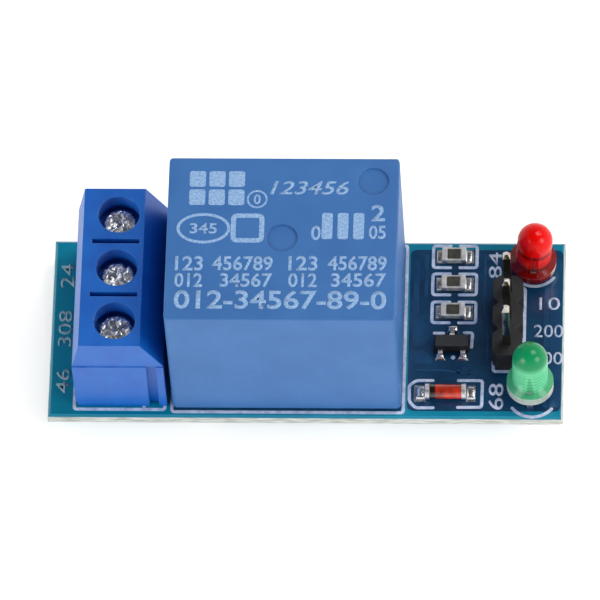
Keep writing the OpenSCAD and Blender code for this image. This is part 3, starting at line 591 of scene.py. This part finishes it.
def raiseFaces(height):
    bpy.ops.mesh.extrude_region_move(TRANSFORM_OT_translate={"value": (0, 0, height * mm)})


def closeSolid():
    bpy.ops.mesh.select_all(action="SELECT")
    bpy.ops.mesh.normals_make_consistent(inside=False)
    bpy.ops.object.mode_set(mode="OBJECT")


def settle(piece):
    # leaves the object at the origin with its place in its mesh
    bpy.ops.object.select_all(action="DESELECT")
    piece.select_set(True)
    bpy.context.view_layer.objects.active = piece
    bpy.ops.object.transform_apply(location=True, rotation=True, scale=True)
    return piece


def roundPath(points, radius):
    # swaps each corner for a short curve
    path = [points[0]]
    for before, here, after in zip(points, points[1:], points[2:]):
        start = here + (before - here).normalized() * radius * mm
        end = here + (after - here).normalized() * radius * mm
        path += [start * (1 - t) ** 2 + here * 2 * t * (1 - t) + end * t * t for t in drawing["bend"]]
    return path + [points[-1]]


def roundCap(point, along, half):
    # the half circle round one end of a line, from its left to its right
    across = Vector((-along.y, along.x, 0))
    turns = [math.radians(a) for a in drawing["capTurns"]]
    return [point + half * (math.cos(t) * along + math.sin(t) * across) for t in turns]


def drawLine(points, width, thick, corner=0, capped=True):
    # a printed or etched line with mitred corners, and round ends where it doesn't join another
    path = roundPath(points, corner) if corner and len(points) > 2 else points
    half = width * mm / 2
    runs = [(b - a).normalized() for a, b in zip(path, path[1:])]
    left, right = [], []
    for point, before, after in zip(path, runs[:1] + runs, runs + runs[-1:]):
        across = Vector((-before.y - after.y, before.x + after.x, 0)).normalized()
        reach = half / max(drawing["mitre"], across.dot(Vector((-after.y, after.x, 0))))
        left.append(point + across * reach)
        right.append(point - across * reach)
    if not capped:
        return drawArea(left + right[::-1], thick)
    farEnd, nearEnd = roundCap(path[-1], runs[-1], half), roundCap(path[0], -runs[0], half)
    return drawArea(left + farEnd + right[::-1] + nearEnd, thick)


def drawArea(points, thick, corner=0):
    # a filled outline with a thickness
    area = drawPath(points)
    bpy.ops.mesh.edge_face_add()
    if corner:
        bpy.ops.mesh.bevel(offset=corner * mm, segments=drawing["cornerSteps"], affect="VERTICES")
        bpy.ops.mesh.select_all(action="SELECT")
    raiseFaces(thick)
    closeSolid()
    return settle(area)


def drawMound(points, height, shrink, soft):
    # frozen solder: a flat outline drawn up and in, then rounded over
    mound = drawPath(points)
    bpy.ops.mesh.edge_face_add()
    raiseFaces(height)
    middle = sum(points, Vector()) / len(points)
    bpy.ops.transform.resize(value=(shrink, shrink, 1), center_override=middle)
    closeSolid()
    rounding = mound.modifiers.new("rounding", "BEVEL")
    rounding.width = soft * mm
    rounding.segments = drawing["cornerSteps"]
    rounding.limit_method = "NONE"
    bpy.ops.object.modifier_apply(modifier=rounding.name)
    bpy.ops.object.shade_smooth_by_angle(angle=math.radians(drawing["smoothBelow"]))
    return settle(mound)


def drawRing(centre, halfX, halfY, width, thick):
    # a flat round or oval washer: a circle extruded outwards, then given its thickness
    bpy.ops.object.select_all(action="DESELECT")
    bpy.ops.mesh.primitive_circle_add(radius=mm, vertices=drawing["ringSteps"], location=centre)
    ring = bpy.context.object
    bpy.ops.object.mode_set(mode="EDIT")
    bpy.ops.mesh.select_all(action="SELECT")
    innerX, innerY = halfX - width / 2, halfY - width / 2
    bpy.ops.transform.resize(value=(innerX, innerY, 1), center_override=centre)
    bpy.ops.mesh.extrude_region_move()
    grow = ((innerX + width) / innerX, (innerY + width) / innerY, 1)
    bpy.ops.transform.resize(value=grow, center_override=centre)
    bpy.ops.mesh.select_all(action="SELECT")
    raiseFaces(thick)
    closeSolid()
    return settle(ring)


def joinPieces(pieces, name, finishName, body="board"):
    # one named piece of the scene
    bpy.ops.object.select_all(action="DESELECT")
    for piece in pieces:
        piece.select_set(True)
    bpy.context.view_layer.objects.active = pieces[0]
    if len(pieces) > 1:
        bpy.ops.object.join()
    whole = bpy.context.object
    whole.name = name
    whole.data.name = name
    whole.data.materials.clear()
    whole.data.materials.append(finishes[finishName])
    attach(whole, body)


copper = {
    "thick": 0.02,
    "sink": 0.005,
    # the pour at the header's end, and the one below the relay
    "pour": rectangle(8.5, 21.3, -7.8, 7.7),
    "pourBelowRelay": rectangle(-11.3, 8.1, -7.9, 7.9),
    "pourCorner": 0.5,
    # wide tracks that show through the mask as areas, then narrow ones with their widths
    "areas": [
        [(8.8, 6.6), (9.25, 6.6), (9.25, 1.2), (10.2, 0.2), (10.2, -0.9), (9.6, -1.6), (8.8, -1.6)],
        [(8.9, -2.0), (9.7, -2.0), (10.5, -2.8), (10.5, -3.3), (8.9, -3.3)],
        rectangle(19.75, 20.17, 6.9, -7.4),
        rectangle(20.26, 21.2, 6.9, -7.4),
    ],
    "areaCorner": 0.15,
    "tracks": [
        ([(9.85, 7.1), (9.85, 3.2)], 0.3),
        ([(9.2, -3.9), (11.4, -3.9), (13.6, -4.25)], 0.2),
        ([(14.75, 7.2), (14.75, 1.6), (15.1, 1.0), (15.1, -3.0)], 0.2),
    ],
    "trackCorner": 0.2,
    "vias": [(12.72, -4.02), (13.2, -3.78), (13.57, -3.5), (13.74, -4.3),
             (14.4, 0.75), (9.3, -6.0), (15.1, 6.9)],
    "viaRadius": 0.15,
    "viaWall": 0.12,
}


def layCopper():
    thick, z = copper["thick"], -copper["sink"]
    pour = drawArea(layOut(copper["pour"], z), thick, copper["pourCorner"])
    joinPieces([pour], "copper_pour_top", "solderMaskOnCopper")
    below = drawArea(layOut(copper["pourBelowRelay"], z), thick, copper["pourCorner"])
    joinPieces([below], "copper_pour_relay", "solderMaskOnTrack")
    z += thick / 2  # so that tracks stand proud of the pours
    tracks = [drawArea(layOut(outline, z), thick, copper["areaCorner"]) for outline in copper["areas"]]
    tracks += [drawLine(layOut(path, z), width, thick, copper["trackCorner"])
               for path, width in copper["tracks"]]
    radius, wall = copper["viaRadius"], copper["viaWall"]
    tracks += [drawRing(onBoard(x, y, z), radius, radius, wall, thick) for x, y in copper["vias"]]
    joinPieces(tracks, "copper_tracks_top", "solderMaskOnTrack")


layCopper()

joints = {
    # x, y and pad radius of each soldered pin
    "terminal": [(-12.625, y, 1.25) for y in (-4.98, 0.1, 5.18)],
    "relay": [(-8.65, -6.0, 1.3), (-8.65, 6.0, 1.3), (5.55, 0, 1.3), (3.55, -6.0, 1.05), (3.55, 6.0, 1.05)],
    "header": [(16.8, y, 0.85) for y in (-2.54, 0, 2.54)],
    "lamps": [(18.75, y + side, 0.8) for y in (-6.0, 6.0) for side in (-1.27, 1.27)],
}
underside = {
    "thick": 0.03,
    "rim": 0.4,  # width of a pad's ring
    "tuck": 0.01,  # how far the tracks' faces stay behind the pads'
    # heavy tracks carry the switched current, thin ones the coil and lamps
    "tracks": [
        ([(-12.6, -4.98), (-8.7, -6.0)], 2.6),
        ([(-12.6, 5.18), (-8.7, 6.0)], 2.6),
        ([(-12.6, 0.1), (-4.0, 0.1), (5.5, 0)], 2.6),
        ([(3.55, -6.0), (8.0, -6.0), (10.5, -3.5), (14.0, -2.54), (16.8, -2.54)], 0.9),
        ([(3.55, 6.0), (9.5, 6.0), (12.5, 2.54), (16.8, 2.54)], 0.9),
        ([(16.8, 0), (14.2, 0), (12.0, -1.2)], 0.7),
        ([(18.75, -7.27), (12.5, -7.27), (10.0, -5.4)], 0.5),
        ([(18.75, 7.27), (12.0, 7.27)], 0.5),
        ([(18.75, 4.73), (18.75, -4.73)], 0.6),
    ],
}


def finishUnderside():
    thick = underside["thick"]
    z = (boardLow.z - boardHigh.z) / mm - thick
    tracks = [drawLine(layOut(path, z + underside["tuck"]), width, thick)
              for path, width in underside["tracks"]]
    joinPieces(tracks, "copper_tracks_bottom", "solderMaskOnTrack")
    pads = [drawRing(onBoard(x, y, z), radius, radius, underside["rim"], thick)
            for group in joints.values() for x, y, radius in group]
    joinPieces(pads, "pads_bottom", "tinnedPad")


finishUnderside()
print("copper laid on both sides")

resistorRows = (7.01, 4.35, 1.65)  # the resistors' middles
chips = {
    "lift": 0.005,
    "padThick": 0.03,
    "padCorner": 0.08,
    # left and right end of a resistor's pads, and half their depth
    "resistorPads": [(10.66, 11.3), (13.02, 13.78)],
    "padHalf": 0.68,
    "diodePads": [(9.04, 10.05, -6.92, -5.39), (13.4, 14.18, -6.92, -5.39)],
    "glaze": (0.55, 0.47, 0.02),  # half length, half width and thickness
    # outlines of the solder, seen from above
    "frontMound": [(-0.53, -0.54), (0.53, -0.54), (0.38, 0.42), (-0.34, 0.42)],
    "backMound": [(-0.55, -0.36), (0.55, -0.36), (0.52, 0.38), (-0.52, 0.38)],
    "resistorMound": rectangle(-0.3, 0.3, -0.6, 0.6),
    "diodeMound": rectangle(-0.46, 0.46, -0.66, 0.66),
    # x, y, outline, height, how much the top draws in, rounding
    "transistorMounds": [(11.16, -2.52, "frontMound", 0.36, 0.6, 0.1),
                         (13.08, -2.52, "frontMound", 0.36, 0.6, 0.1),
                         (12.2, -0.08, "backMound", 0.36, 0.65, 0.1)],
    "endMounds": [(x, y, "resistorMound", 0.16, 0.86, 0.06) for x in (10.98, 13.36) for y in resistorRows]
                 + [(x, -6.15, "diodeMound", 0.34, 0.75, 0.12) for x in (9.62, 13.82)],
}


def dressChips():
    half, corner = chips["padHalf"], chips["padCorner"]
    pads = [(left, right, y - half, y + half)
            for y in resistorRows for left, right in chips["resistorPads"]]
    pieces = [drawArea(layOut(rectangle(*pad), chips["lift"]), chips["padThick"], corner)
              for pad in pads + chips["diodePads"]]
    joinPieces(pieces, "pads_top", "tinnedPad")
    for group, name in (("transistorMounds", "transistor_solder"), ("endMounds", "chip_solder_soft")):
        pieces = []
        for x, y, shape, height, shrink, soft in chips[group]:
            outline = [onBoard(x + dx, y + dy, chips["lift"]) for dx, dy in chips[shape]]
            pieces.append(drawMound(outline, height, shrink, soft))
        joinPieces(pieces, name, "brightSolder")
    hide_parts("chip_solder")
    low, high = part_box("resistor_bodies")
    middle = ((low.x + high.x) / 2 - midX) / mm
    halfX, halfY, thick = chips["glaze"]
    roof = (high.z - boardHigh.z) / mm - thick / 4  # so that a quarter of it lies inside the chip
    left, right = middle - halfX, middle + halfX
    outlines = [rectangle(left, right, y - halfY, y + halfY) for y in resistorRows]
    pieces = [drawArea(layOut(outline, roof), thick, corner) for outline in outlines]
    joinPieces(pieces, "resistor_glaze", "resistorOverglaze")


dressChips()
print("pads, solder and glaze added to the small parts")

legend = {
    "width": 0.27,
    "thick": 0.03,
    "lift": 0.005,
    "corner": 0.25,
    "paths": [
        [(15.62, -3.1), (15.62, -4.0), (18.15, -4.0), (18.15, 4.0), (17.2, 4.0)],
        [(-11.7, -7.4), (-11.7, -7.8), (-19.27, -7.8), (-19.27, 8.1), (-11.7, 8.1), (-11.7, 7.8)],
        [(-13.44, -7.52), (-13.44, -7.4)],
        [(10.63, -0.36), (11.4, -0.36)],
        [(13.13, -0.3), (13.83, -0.3), (13.76, -1.69)],
        [(10.61, -4.9), (9.21, -4.91), (8.64, -5.39), (8.68, -6.93), (9.2, -7.51), (10.67, -7.5)],
        [(12.74, -4.89), (14.75, -4.88), (14.72, -7.43), (12.72, -7.45)],
    ],
    # x, y, radius, first and last angle of the arcs round the lamps
    "arcs": [(18.93, -6.28, 2.05, 216, 322), (18.9, 6.2, 2.0, 216, 324)],
    # back and front of the brackets round each resistor, then where the arms and the spine of each stand
    "chipRows": [(8.05, 5.97), (5.36, 3.34), (2.65, 0.65)],
    "brackets": [(11.83, 10.39), (12.64, 14.05)],
    # the relay's outline, in two halves that meet
    "halves": [
        [(-1.5, -8.0), (-11.11, -8.0), (-11.11, 8.06), (-1.5, 8.06)],
        [(-1.5, -8.0), (8.2, -8.0), (8.2, 8.06), (-1.5, 8.06)],
    ],
    "dot": (12.24, -2.68, 0.19, 0, 336),  # as the arcs, but filled
}


def printLegend():
    width, thick, z, corner = (legend[k] for k in ("width", "thick", "lift", "corner"))
    paths = [(path, corner) for path in legend["paths"]]
    paths += [(arc(*sweep), 0) for sweep in legend["arcs"]]
    paths += [([(end, back), (side, back), (side, front), (end, front)], corner)
              for back, front in legend["chipRows"] for end, side in legend["brackets"]]
    lines = [drawLine(layOut(path, z), width, thick, radius) for path, radius in paths]
    lines += [drawLine(layOut(path, z), width, thick, corner, capped=False) for path in legend["halves"]]
    lines.append(drawArea(layOut(arc(*legend["dot"]), z), thick))
    joinPieces(lines, "legend_lines", "legendInk")


printLegend()
print("legend lines printed")


# plain numbers

numbers = {
    "thick": 0.03,
    "bold": 0.004,
    "groups": {
        # ink of each group, then digits, centre x and y, height, width, turn
        "legend_numbers_header": ("legendInk", [
            ("10", 20.2, 2.54, 1.2, 1.75, 0),
            ("200", 20.15, -0.1, 1.2, 2.45, 0),
            ("300", 20.15, -2.7, 1.2, 2.45, 0),
        ]),
        "legend_numbers_lamps": ("legendInk", [
            ("84", 15.6, 6.2, 1.1, 2.5, 90),
            ("68", 15.9, -6.4, 1.25, 2.5, 90),
        ]),
        "legend_numbers_left": ("legendInkThin", [
            ("24", -20.3, 5.0, 1.15, 2.3, 90),
            ("308", -20.3, -0.08, 1.15, 3.4, 90),
            ("46", -20.3, -5.15, 1.15, 2.3, 90),
        ]),
    },
}


def stampNumber(digits, centre, height, width, thick, bold, turn=0, lean=0):
    # digits from the built-in typeface, made a mesh, then brought to size and place
    bpy.ops.object.select_all(action="DESELECT")
    bpy.ops.object.text_add(location=(0, 0, 0))
    text = bpy.context.object
    text.data.body = digits
    text.data.size = 1
    text.data.resolution_u = drawing["curveSteps"]
    text.data.shear = lean
    text.data.offset = bold
    bpy.ops.object.convert(target="MESH")
    stamp = bpy.context.object
    xs = [v.co.x for v in stamp.data.vertices]
    ys = [v.co.y for v in stamp.data.vertices]
    centreX, centreY = (min(xs) + max(xs)) / 2, (min(ys) + max(ys)) / 2
    stamp.data.transform(Matrix.Translation((-centreX, -centreY, 0)))
    stamp.scale = (width * mm / (max(xs) - min(xs)), height * mm / (max(ys) - min(ys)), 1)
    stamp.rotation_euler = (0, 0, math.radians(turn))
    stamp.location = centre
    settle(stamp)
    bpy.ops.object.mode_set(mode="EDIT")
    bpy.ops.mesh.select_all(action="SELECT")
    bpy.ops.mesh.remove_doubles(threshold=drawing["weld"] * mm)
    raiseFaces(thick)
    closeSolid()
    return stamp


def printNumbers():
    thick, bold = numbers["thick"], numbers["bold"]
    for name, (ink, rows) in numbers["groups"].items():
        stamps = []
        for digits, x, y, height, width, turn in rows:
            centre = onBoard(x, y, legend["lift"])
            stamps.append(stampNumber(digits, centre, height, width, thick, bold, turn))
        joinPieces(stamps, name, ink)


printNumbers()
print("numbers printed")


# plain print on the relay's top

roofPrint = {
    "thick": 0.02,
    "sink": 0.012,
    "bold": 0.02,
    "rows": [
        # digits, left and right end, middle y, height
        ("123", -10.25, -7.95, -2.45, 1.4), ("456789", -7.2, -2.2, -2.43, 1.4),
        ("123", -0.9, 1.5, -2.4, 1.4), ("456789", 2.35, 7.2, -2.38, 1.4),
        ("012", -10.25, -7.95, -4.04, 1.34), ("34567", -6.5, -2.2, -4.02, 1.34),
        ("012", -0.88, 1.5, -4.0, 1.34), ("34567", 2.65, 7.18, -3.97, 1.34),
        ("012-34567-89-0", -10.25, 7.25, -5.88, 1.8),
        ("2", 5.8, 6.95, 2.4, 1.55), ("05", 5.65, 7.05, 0.58, 1.3), ("0", 0.88, 1.68, 0.5, 1.4),
        ("345", -9.15, -6.9, 0.88, 1.0), ("0", -3.95, -3.37, 3.68, 0.95),
    ],
    "slanted": ("123456", -2.6, 3.9, 4.8, 1.3, 0.25, 0.012),  # as above, then lean and boldness
    # plain blocks: left, right, front, back
    "blocks": [(-9.3 + 1.62 * k, -7.96 + 1.62 * k, front, front + 1.5)
               for front in (3.1, 4.85) for k in range(3)]
              + [(1.75 + 1.3 * k, 2.65 + 1.3 * k, -0.1, 2.4) for k in range(3)],
    "blockCorner": 0.2,
    "square": (-5.55, -3.2, -0.25, 2.1, 0.42, 0.36),  # left, right, front, back, line width, corner
    # centre, half sizes, line width
    "rings": [(-8.02, 0.88, 2.1, 1.32, 0.26), (-3.66, 3.68, 0.78, 0.78, 0.16)],
}


def onRoof(x, y):
    # mm from the board's centre, on the relay's top
    return Vector((midX + x * mm, midY + y * mm, relayHigh.z - roofPrint["sink"] * mm))


def printRoof():
    thick, bold = roofPrint["thick"], roofPrint["bold"]
    stamps = []
    for digits, left, right, y, height in roofPrint["rows"]:
        centre = onRoof((left + right) / 2, y)
        stamps.append(stampNumber(digits, centre, height, right - left, thick, bold))
    digits, left, right, y, height, lean, bold = roofPrint["slanted"]
    centre = onRoof((left + right) / 2, y)
    stamps.append(stampNumber(digits, centre, height, right - left, thick, bold, lean=lean))
    for block in roofPrint["blocks"]:
        outline = [onRoof(x, y) for x, y in rectangle(*block)]
        stamps.append(drawArea(outline, thick, roofPrint["blockCorner"]))
    left, right, front, back, width, corner = roofPrint["square"]
    middle = (left + right) / 2
    for side in (left, right):
        half = [onRoof(x, y) for x, y in ((middle, front), (side, front), (side, back), (middle, back))]
        stamps.append(drawLine(half, width, thick, corner, capped=False))
    for x, y, halfX, halfY, width in roofPrint["rings"]:
        stamps.append(drawRing(onRoof(x, y), halfX, halfY, width, thick))
    joinPieces(stamps, "relay_print", "padPrintInk")


printRoof()
print("relay print made")


# lamp lenses, with the same shape as the frame's but smooth

lenses = {
    "weld": 0.001,
    "smoothBelow": 35,  # degrees
    # node, new piece, finish, material slot
    "castings": [("red_lens", "red_lamp_casting", "redCastEpoxy", "red_epoxy"),
                 ("green_lens", "green_lamp_casting", "greenCastEpoxy", "green_epoxy")],
}


def smoothLens(nodeName, pieceName, finishName, slotName):
    bpy.ops.object.select_all(action="DESELECT")
    lens = bpy.data.objects.new(pieceName, nodes[nodeName].data.copy())
    bpy.context.scene.collection.objects.link(lens)
    lens.select_set(True)
    bpy.context.view_layer.objects.active = lens
    bpy.ops.object.mode_set(mode="EDIT")
    bpy.ops.mesh.select_all(action="SELECT")
    bpy.ops.mesh.remove_doubles(threshold=lenses["weld"] * mm)
    bpy.ops.object.mode_set(mode="OBJECT")
    bpy.ops.object.shade_smooth_by_angle(angle=math.radians(lenses["smoothBelow"]))
    joinPieces([lens], pieceName, finishName)
    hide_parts(nodeName)


for lensRow in lenses["castings"]:
    smoothLens(*lensRow)
print("lenses smoothed")
